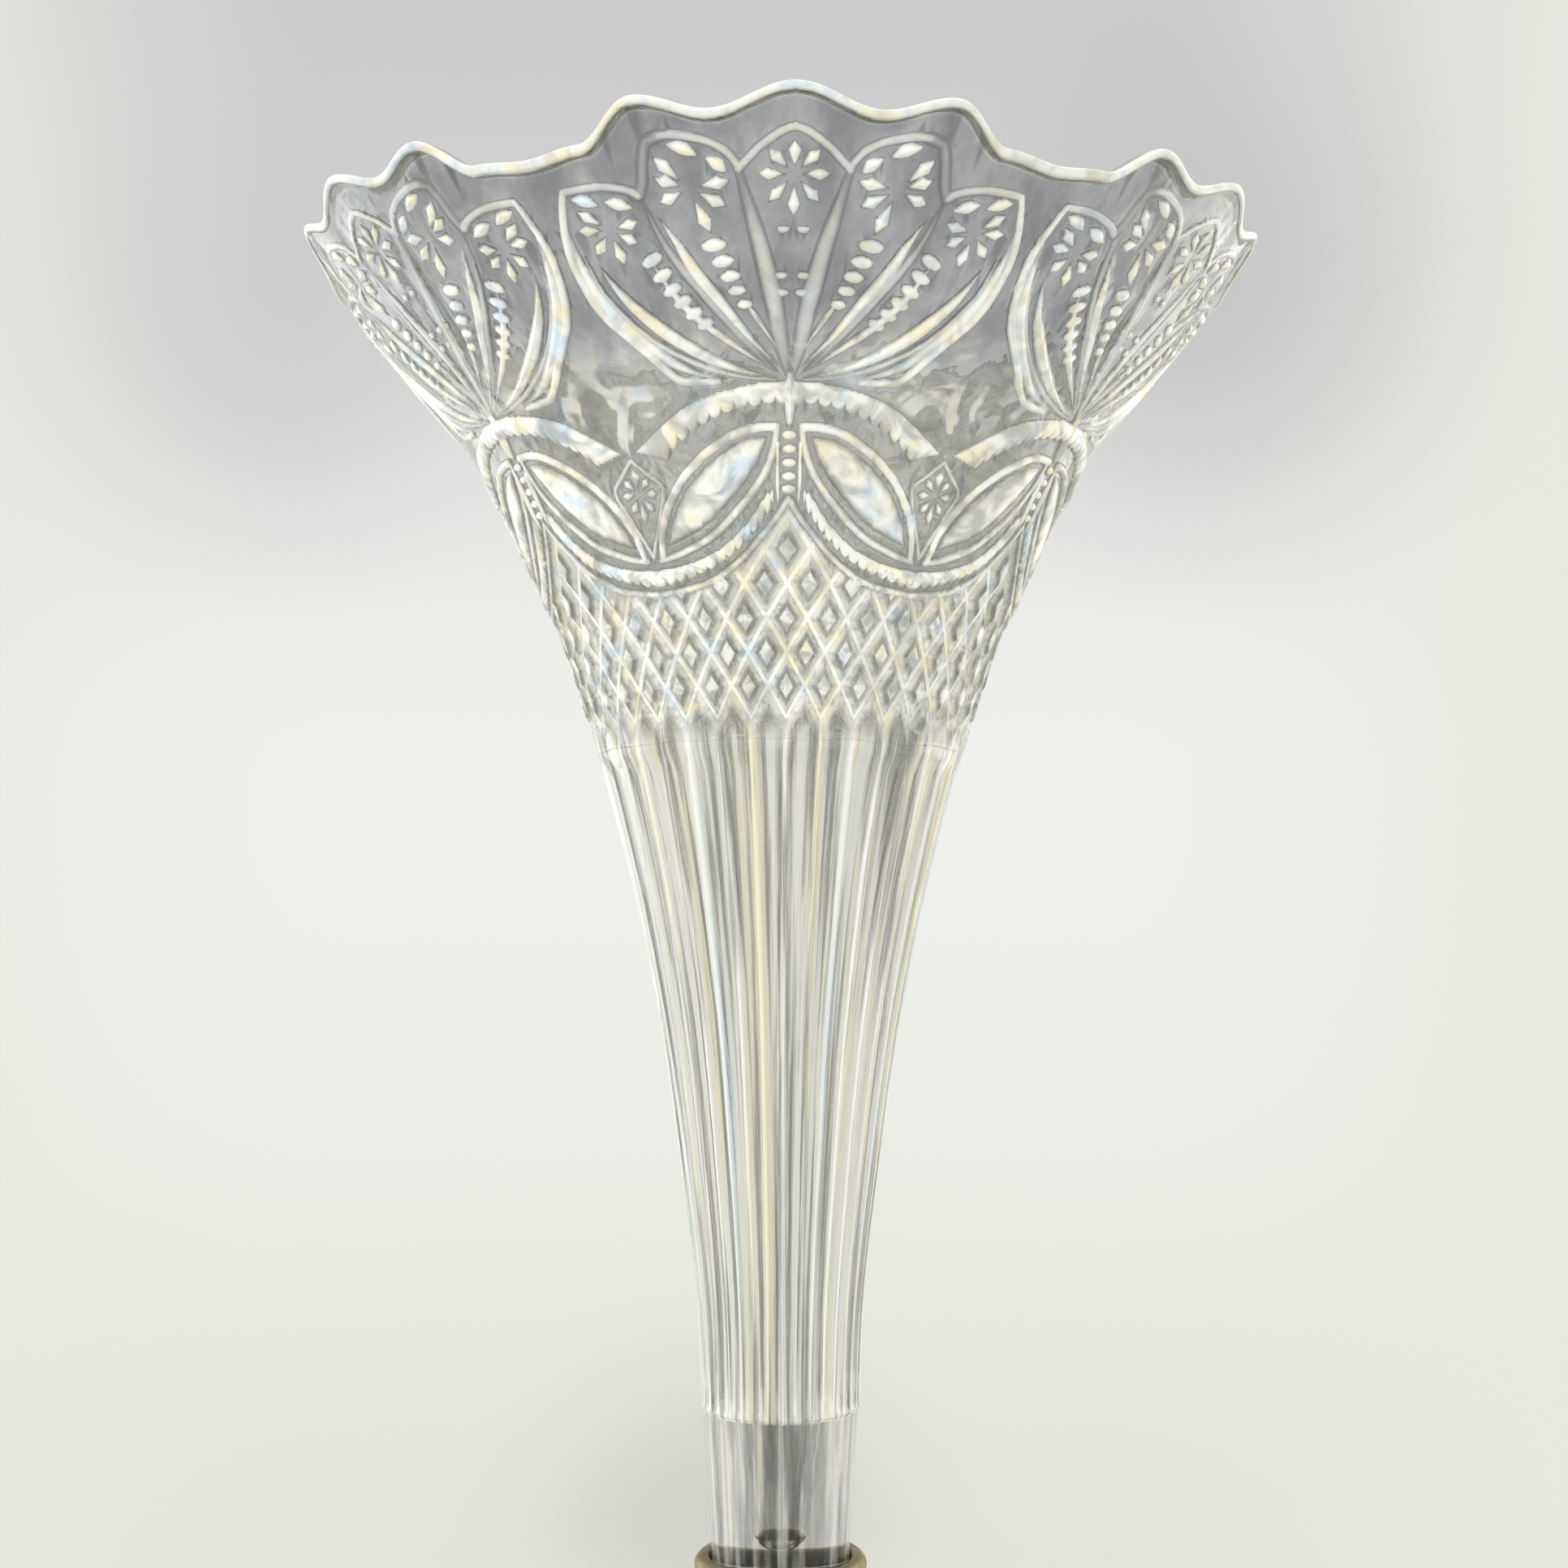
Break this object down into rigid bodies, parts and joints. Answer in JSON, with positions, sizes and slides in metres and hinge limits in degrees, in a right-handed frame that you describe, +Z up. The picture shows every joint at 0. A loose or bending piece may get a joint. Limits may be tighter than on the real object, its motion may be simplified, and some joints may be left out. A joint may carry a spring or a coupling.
{
  "type": "cornet vase",
  "caption": "Pressed clear glass cornet vase with scalloped rim, fans, diamonds and flutes, its ground peg standing loose in a turned brass foot.",
  "frame": {"origin": "middle of the underside of the felt pad, on the surface that the vase stands on", "axes": "+Z up along the axis of the vase, -Y towards the viewer of the picture, through the middle of one fan"},
  "size_m": [0.1432, 0.1484, 0.2775],
  "materials": {
    "clear_glass": "clear, moulded, fire-polished",
    "patinated_brass": "aged, olive-brown patina",
    "iron": "as cast",
    "steel": "plain turned",
    "cork": "cut cork",
    "felt": "pressed wool felt"
  },
  "bodies": {
    "foot": {"collar_ring": "patinated_brass", "socket_cup": "patinated_brass", "seat_cork": "cork", "cup_nut": "steel", "knop": "patinated_brass", "stem": "patinated_brass", "foot_dome": "patinated_brass", "base_weight": "iron", "tie_rod": "steel", "lower_washer": "steel", "lower_nut": "steel", "felt_pad": "felt"},
    "glass": {"glass_cornet": "clear_glass"}
  },
  "joints": [
    {"name": "glass_lift", "type": "slide", "parent": "foot", "child": "glass", "axis": [0, 0, 1], "range_m": [0, 0.03]}
  ]
}
